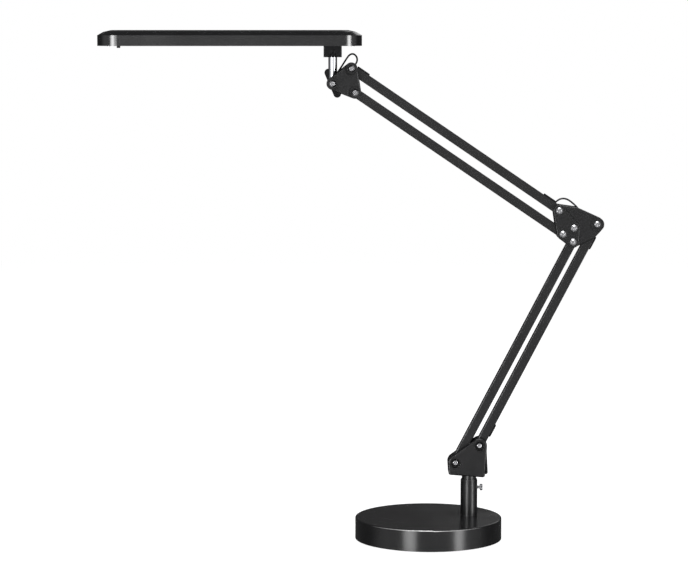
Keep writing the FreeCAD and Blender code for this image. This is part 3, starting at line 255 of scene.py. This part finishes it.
class Finish:
    """A material's node tree with short ways to add noise, ramps and bumps."""

    def __init__(self, name):
        self.material = bpy.data.materials.new(name)
        self.material.use_nodes = True
        self.tree = self.material.node_tree
        self.shader = self.tree.nodes["Principled BSDF"]
        self.place = self.tree.nodes.new("ShaderNodeTexCoord").outputs["Object"]

    def give(self, **values):
        """Sets the shader's own sockets, by name."""
        for name, value in values.items():
            self.shader.inputs[name.replace("_", " ")].default_value = value

    def link(self, source, name):
        """Feeds an output into one of the shader's sockets."""
        self.tree.links.new(source, self.shader.inputs[name])

    def stretch(self, scale):
        """Object coordinates scaled by a different amount along each axis."""
        mapping = self.tree.nodes.new("ShaderNodeMapping")
        mapping.inputs["Scale"].default_value = scale
        self.tree.links.new(self.place, mapping.inputs["Vector"])
        return mapping.outputs[0]

    def noise(self, scale, detail=3.0, vector=None):
        node = self.tree.nodes.new("ShaderNodeTexNoise")
        node.inputs["Scale"].default_value = scale
        node.inputs["Detail"].default_value = detail
        self.tree.links.new(vector or self.place, node.inputs["Vector"])
        return node.outputs["Fac"]

    def specks(self, scale, size):
        """Small round specks: 1 inside a speck, 0 elsewhere."""
        node = self.tree.nodes.new("ShaderNodeTexVoronoi")
        node.inputs["Scale"].default_value = scale
        self.tree.links.new(self.place, node.inputs["Vector"])
        return self.ramp(node.outputs["Distance"], size, 1.0, size * SPECK_EDGE, 0.0)

    def ramp(self, source, low, low_value, high, high_value):
        return between(self.tree, source, low, low_value, high, high_value)

    def mix(self, factor, first, second):
        """A blend of two colours, each a tuple or an output."""
        node = self.tree.nodes.new("ShaderNodeMix")
        node.data_type = "RGBA"
        self.tree.links.new(factor, node.inputs["Factor"])
        for socket, value in ((node.inputs[6], first), (node.inputs[7], second)):
            if isinstance(value, tuple):
                socket.default_value = (*value, 1)
            else:
                self.tree.links.new(value, socket)
        return node.outputs[2]

    def times(self, first, second):
        return joined(self.tree, "MULTIPLY", first, second)

    def rim_highlight_mask(self):
        """1 on the front of a rounded top rim, and 0 on walls, on tops and at the back: where the
        painted rim highlight goes.
        """
        parts = self.tree.nodes.new("ShaderNodeSeparateXYZ")
        geometry = self.tree.nodes.new("ShaderNodeNewGeometry")
        self.tree.links.new(geometry.outputs["Normal"], parts.inputs[0])
        upward = parts.outputs["Z"]
        off_wall = self.ramp(upward, 0.15, 0.0, 0.35, 1.0)
        off_top = self.ramp(upward, 0.85, 1.0, 0.97, 0.0)
        in_front = self.ramp(parts.outputs["Y"], -0.76, 1.0, -0.58, 0.0)
        return self.times(self.times(off_wall, off_top), in_front)

    def bump(self, height, distance, strength, under=None):
        """A bump of a distance in metres, over another bump where one is given."""
        node = self.tree.nodes.new("ShaderNodeBump")
        node.inputs["Distance"].default_value = distance
        node.inputs["Strength"].default_value = strength
        self.tree.links.new(height, node.inputs["Height"])
        if under:
            self.tree.links.new(under, node.inputs["Normal"])
        self.tree.links.new(node.outputs[0], self.shader.inputs["Normal"])
        return node.outputs[0]


def scaled(colour, factor):
    """A colour made lighter or darker, with no channel above 1."""
    return tuple(min(1.0, channel * factor) for channel in colour)


def paint(name, colour, rough, grain, depth, specular, dust=0.0, rim=0.0):
    """Black paint: fine orange peel, a slightly uneven sheen, a little dust, and a painted highlight
    of pale metal on the front of the top rim.
    """
    f = Finish(name)
    f.give(Metallic=0.0)
    cloud = f.ramp(f.noise(38.0, 4.0), 0.35, 0.0, 0.65, 1.0)
    shade = f.mix(cloud, colour, scaled(colour, 1.3))
    if dust:
        flecks = f.times(f.specks(420.0, 0.05), f.ramp(f.noise(95.0), 0.55, 0.0, 0.68, dust))
        shade = f.mix(flecks, shade, DUST_COLOUR)
    # Painted highlight: a pale, partly metallic line on the front of the top rim, broken up by noise.
    if rim:
        rim_highlight = f.times(f.rim_highlight_mask(), f.ramp(f.noise(130.0), 0.3, 0.55, 0.6, 1.0))
        shade = f.mix(rim_highlight, shade, RIM_HIGHLIGHT_COLOUR)
        f.link(f.times(rim_highlight, rim), "Metallic")
    f.link(shade, "Base Color")
    f.link(f.ramp(f.noise(24.0, 5.0), 0.3, rough[0], 0.7, rough[1]), "Roughness")
    gloss = f.ramp(f.noise(60.0), 0.3, specular * 0.93, 0.7, specular * 1.07)
    f.link(gloss, "Specular IOR Level")
    peel = f.bump(f.noise(grain, 2.0), depth, 0.7)
    f.bump(f.noise(grain * 3.7, 2.0), depth * 0.35, 0.6, peel)
    return f.material


def bright_metal(name, colour, rough, brush, depth, stain=0.3):
    """Plated metal with fine turning marks and faint stains."""
    f = Finish(name)
    f.give(Metallic=1.0)
    blotch = f.ramp(f.noise(210.0, 4.0), 0.4, 0.0, 0.7, stain)
    f.link(f.mix(blotch, colour, scaled(colour, 0.62)), "Base Color")
    f.link(f.ramp(f.noise(520.0), 0.3, rough * 0.7, 0.7, rough * 1.35), "Roughness")
    f.bump(f.noise(1.0, 2.0, vector=f.stretch(brush)), depth, 0.5)
    return f.material


def moulded(name, colour, rough, grain=2600.0, depth=5e-6, specular=0.35):
    """Moulded plastic or rubber with a fine even grain."""
    f = Finish(name)
    f.give(Specular_IOR_Level=specular)
    tone = f.ramp(f.noise(60.0), 0.35, 0.0, 0.65, 1.0)
    f.link(f.mix(tone, colour, scaled(colour, 1.3)), "Base Color")
    f.link(f.ramp(f.noise(140.0, 4.0), 0.3, rough * 0.85, 0.7, rough * 1.15), "Roughness")
    f.bump(f.noise(grain, 2.0), depth, 0.6)
    return f.material


def opal(name):
    """Opal light panel: milky, finely grained, with a little depth."""
    f = Finish(name)
    f.give(Specular_IOR_Level=0.45, Subsurface_Weight=0.35)
    f.give(Subsurface_Radius=(0.004, 0.004, 0.004))
    f.link(f.mix(f.noise(12.0), (0.80, 0.80, 0.77), (0.86, 0.86, 0.84)), "Base Color")
    f.link(f.ramp(f.noise(90.0), 0.3, 0.32, 0.7, 0.42), "Roughness")
    f.bump(f.noise(900.0, 2.0), 2e-5, 0.4)
    return f.material


def cast(name):
    """Rough cast iron, hidden under the base cover."""
    f = Finish(name)
    f.give(Metallic=0.7)
    f.link(f.mix(f.noise(45.0, 6.0), (0.09, 0.085, 0.08), (0.2, 0.19, 0.18)), "Base Color")
    f.link(f.ramp(f.noise(160.0), 0.3, 0.55, 0.7, 0.85), "Roughness")
    f.bump(f.noise(330.0, 6.0), 3e-4, 0.9)
    return f.material


def make_paints():
    gloss = (0.010, 0.010, 0.0105)
    deep = (0.004, 0.004, 0.0044)
    black = (0.007, 0.007, 0.0075)
    return {
        "base_paint": paint(
            "gloss_black",
            gloss,
            rough=(0.16, 0.22),
            grain=520.0,
            depth=4e-6,
            specular=0.30,
            dust=0.4,
            # Metallic share of the painted highlight on the front of the top rim.
            rim=0.7,
        ),
        "post_paint": paint(
            "satin_black", deep, rough=(0.30, 0.36), grain=900.0, depth=2e-6, specular=0.30
        ),
        "arm_paint": paint(
            "tube_black", black, rough=(0.20, 0.26), grain=1100.0, depth=8e-7, specular=0.38
        ),
        "head_paint": paint(
            "head_black", black, rough=(0.17, 0.23), grain=800.0, depth=2e-6, specular=0.50
        ),
    }


def make_metals():
    sheet = (0.55, 0.56, 0.57)
    bright = (0.34, 0.34, 0.35)
    chrome = (0.32, 0.325, 0.34)
    dull = (0.30, 0.30, 0.31)
    rolled = (900, 40, 900)
    drawn = (300, 300, 60)
    fine = (2500, 2500, 2500)
    coarse = (1800, 1800, 1800)
    return {
        "cast_weight": cast("cast_iron"),
        "floor_steel": bright_metal("zinc_sheet", sheet, rough=0.38, brush=rolled, depth=1e-5),
        "bright_steel": bright_metal("bright_zinc", bright, rough=0.24, brush=fine, depth=4e-6),
        "stem_chrome": bright_metal("chrome", chrome, rough=0.05, brush=drawn, depth=2e-6, stain=0.1),
        "dull_zinc": bright_metal("dull_zinc", dull, rough=0.40, brush=coarse, depth=1e-5, stain=0.5),
    }


def make_plastics():
    rubber = (0.022, 0.022, 0.022)
    black = (0.005, 0.005, 0.0055)
    jacket = (0.008, 0.008, 0.009)
    return {
        "foot_rubber": moulded(
            "foam_rubber", rubber, rough=0.85, grain=900.0, depth=5e-5, specular=0.3
        ),
        "nylon": moulded("black_nylon", (0.012, 0.012, 0.012), rough=0.42),
        "black_plastic": moulded(
            "black_plastic", black, rough=0.38, grain=2200.0, depth=8e-6, specular=0.12
        ),
        "lead_jacket": moulded(
            "lead_jacket", jacket, rough=0.36, grain=1500.0, depth=6e-6, specular=0.3
        ),
        "opal": opal("opal_panel"),
        "board_white": moulded("white_board", (0.72, 0.72, 0.70), rough=0.45),
        "chip_yellow": moulded("phosphor", (0.80, 0.62, 0.16), rough=0.35),
        "circuit": moulded("green_board", (0.02, 0.10, 0.04), rough=0.40),
    }


def dress(materials):
    """Gives every carried-over piece its finish."""
    for part in frame["record"]["subparts"]:
        mesh = frame["nodes"][part["node"]].data
        mesh.materials.clear()
        mesh.materials.append(materials[part["material_slot"]])


# ---- pieces whose edges are eased so that they catch the light ----

# Bevel widths in millimetres.
EASED = {
    "tilt_knob": 0.9,
    "thumbscrew": 0.45,
    "head_block": 0.5,
    "power_button": 0.4,
    "lower_lead_guides": 0.5,
    "upper_lead_guides": 0.5,
    "lower_bracket_screws": 0.28,
    "elbow_screws": 0.28,
    "head_bracket_screws": 0.28,
    "lower_bracket_nuts": 0.3,
    "elbow_nuts": 0.3,
    "head_bracket_nuts": 0.3,
    "post_bush": 0.25,
    "tilt_bolt": 0.12,
    "lower_bracket_front_plate": 0.4,
    "elbow_front_plate": 0.4,
    "elbow_front_link_plate": 0.4,
    "head_bracket_front_plate": 0.4,
    "lower_link_tube": 0.6,
    "lower_arm_tube": 0.6,
    "upper_link_tube": 0.6,
    "upper_arm_tube": 0.6,
}

# Angles between faces in radians, and the distance that is welded in metres.
SHARP = math.radians(32)
NEARLY_FLAT = math.radians(0.4)
WELD = 1e-6
BEVEL_STEPS = 3
FLAT_WEIGHT = 100


def node_slot(node):
    return next(p["material_slot"] for p in frame["record"]["subparts"] if p["node"] == node)


def eased_copy(node, width, materials):
    """A copy of a piece with its sharp edges rounded, standing for it."""
    source = frame["nodes"][node]
    mesh = source.data.copy()
    mesh.name = node + "_eased"
    work = bmesh.new()
    work.from_mesh(mesh)
    bmesh.ops.remove_doubles(work, verts=work.verts, dist=WELD)
    bmesh.ops.dissolve_limit(work, angle_limit=NEARLY_FLAT, verts=work.verts, edges=work.edges)
    work.to_mesh(mesh)
    work.free()
    for polygon in mesh.polygons:
        polygon.use_smooth = True
    mesh.materials.clear()
    slot = node_slot(node)
    mesh.materials.append(materials[slot])
    piece = bpy.data.objects.new(node + "_eased", mesh)
    bpy.context.scene.collection.objects.link(piece)
    bevel = piece.modifiers.new("edges", "BEVEL")
    bevel.width = width * MM
    bevel.segments = BEVEL_STEPS
    bevel.limit_method = "ANGLE"
    bevel.angle_limit = SHARP
    bevel.use_clamp_overlap = True
    flat = piece.modifiers.new("flat_faces", "WEIGHTED_NORMAL")
    flat.mode = "FACE_AREA"
    flat.weight = FLAT_WEIGHT
    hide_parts(node)
    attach(piece, source["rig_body"])


# ---- the lead's bends, held at both ends ----

# Routes in millimetres from the foot of the post's axis.
POST = Vector((56.0, 12.0, 0.0))
BRACKET_ROUTE = [
    (0.0, 0.0, 94.3),
    (0.2, 0.0, 98.6),
    (1.6, 0.0, 103.4),
    (4.4, 0.0, 108.6),
    (7.6, 0.0, 113.8),
    (10.0, 0.0, 118.9),
    (11.55, 0.0, 123.5),
]
ELBOW_ROUTE = [
    (114.2, 0.0, 459.6),
    (117.0, 0.0, 461.4),
    (120.4, 0.3, 464.2),
    (125.4, 0.8, 465.6),
    (131.4, 1.4, 464.6),
    (138.0, 2.0, 460.2),
    (145.5, 2.2, 453.2),
    (150.8, 1.8, 445.2),
    (153.6, 1.0, 436.5),
    (155.0, 0.4, 427.5),
    (156.8, 0.0, 419.5),
    (160.6, 0.0, 412.5),
]
HEAD_ROUTE = [
    (-156.4, 0.0, 646.0),
    (-153.9, 2.5, 649.8),
    (-153.4, 7.5, 654.6),
    (-155.4, 11.5, 658.8),
    (-159.6, 14.4, 661.2),
    (-164.2, 15.2, 659.4),
    (-168.0, 14.6, 654.2),
    (-172.2, 9.0, 647.6),
    (-176.4, 3.6, 641.2),
    (-180.2, 0.8, 635.6),
    (-184.4, 0.0, 632.4),
]
LEAD_RADIUS = 1.2
LEAD_SIDES = 20
LINE_STEPS = 10
LINE_ORDER = 3


def smooth_line(name, route):
    """Points along one NURBS spline through a route, in metres."""
    curve = bpy.data.curves.new(name, "CURVE")
    curve.dimensions = "3D"
    curve.resolution_u = LINE_STEPS
    spline = curve.splines.new("NURBS")
    spline.points.add(len(route) - 1)
    for point, spot in zip(spline.points, route):
        point.co = (*((POST + Vector(spot)) * MM), 1)
    spline.order_u = LINE_ORDER
    spline.use_endpoint_u = True
    holder = bpy.data.objects.new(name, curve)
    bpy.context.scene.collection.objects.link(holder)
    bpy.context.view_layer.update()
    mesh = bpy.data.meshes.new_from_object(holder)
    line = [vertex.co.copy() for vertex in mesh.vertices]
    bpy.data.objects.remove(holder)
    bpy.data.meshes.remove(mesh)
    bpy.data.curves.remove(curve)
    return line


def tube_frames(line):
    """A sideways pair of directions at each point, carried along without twist."""
    frames = []
    side = Vector((0, 1, 0))
    for i, spot in enumerate(line):
        ahead = (line[min(i + 1, len(line) - 1)] - line[max(i - 1, 0)]).normalized()
        side = (side - ahead * side.dot(ahead)).normalized()
        frames.append((spot, side.copy(), ahead.cross(side)))
    return frames


def tube_piece(name, frames, materials):
    """A closed round tube through a stretch of frames."""
    mesh = bpy.data.meshes.new(name)
    work = bmesh.new()
    rings = []
    for spot, side, up in frames:
        ring = []
        for k in range(LEAD_SIDES):
            turn = 2 * math.pi * k / LEAD_SIDES
            offset = (side * math.cos(turn) + up * math.sin(turn)) * LEAD_RADIUS * MM
            ring.append(work.verts.new(spot + offset))
        rings.append(ring)
    for first, second in zip(rings, rings[1:]):
        for k in range(LEAD_SIDES):
            j = (k + 1) % LEAD_SIDES
            work.faces.new((first[k], second[k], second[j], first[j]))
    work.faces.new(rings[0])
    work.faces.new(reversed(rings[-1]))
    bmesh.ops.recalc_face_normals(work, faces=work.faces)
    for face in work.faces:
        face.smooth = len(face.verts) == 4
    work.to_mesh(mesh)
    work.free()
    mesh.materials.append(materials["lead_jacket"])
    piece = bpy.data.objects.new(name, mesh)
    bpy.context.scene.collection.objects.link(piece)
    return piece


def make_lead(node, route, bodies, materials):
    """One bend of the lead, in one stretch for each pair of bodies that it joins."""
    frames = tube_frames(smooth_line(node + "_line", route))
    stretches = len(bodies) - 1
    last = len(frames) - 1
    for i in range(stretches):
        start = last * i // stretches
        end = last * (i + 1) // stretches
        name = f"{node}_{i + 1}"
        piece = tube_piece(name, frames[start : end + 1], materials)
        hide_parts(node)
        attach(piece, bodies[i])
        piece.parent = None
        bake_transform(piece)


# ---- the whole lamp ----

scene = bpy.context.scene
scene.view_settings.view_transform = "Standard"
make_camera()
make_lights()
make_world()
make_floor()
finishes = {**make_paints(), **make_metals(), **make_plastics()}
dress(finishes)
for name, width in EASED.items():
    eased_copy(name, width, finishes)
make_lead("lead_bracket_loop", BRACKET_ROUTE, ("lower_bracket", "lower_link"), finishes)
make_lead("lead_elbow_loop", ELBOW_ROUTE, ("upper_arm", "elbow", "lower_link"), finishes)
make_lead("lead_head_loop", HEAD_ROUTE, ("upper_arm", "head_bracket", "head_stem"), finishes)
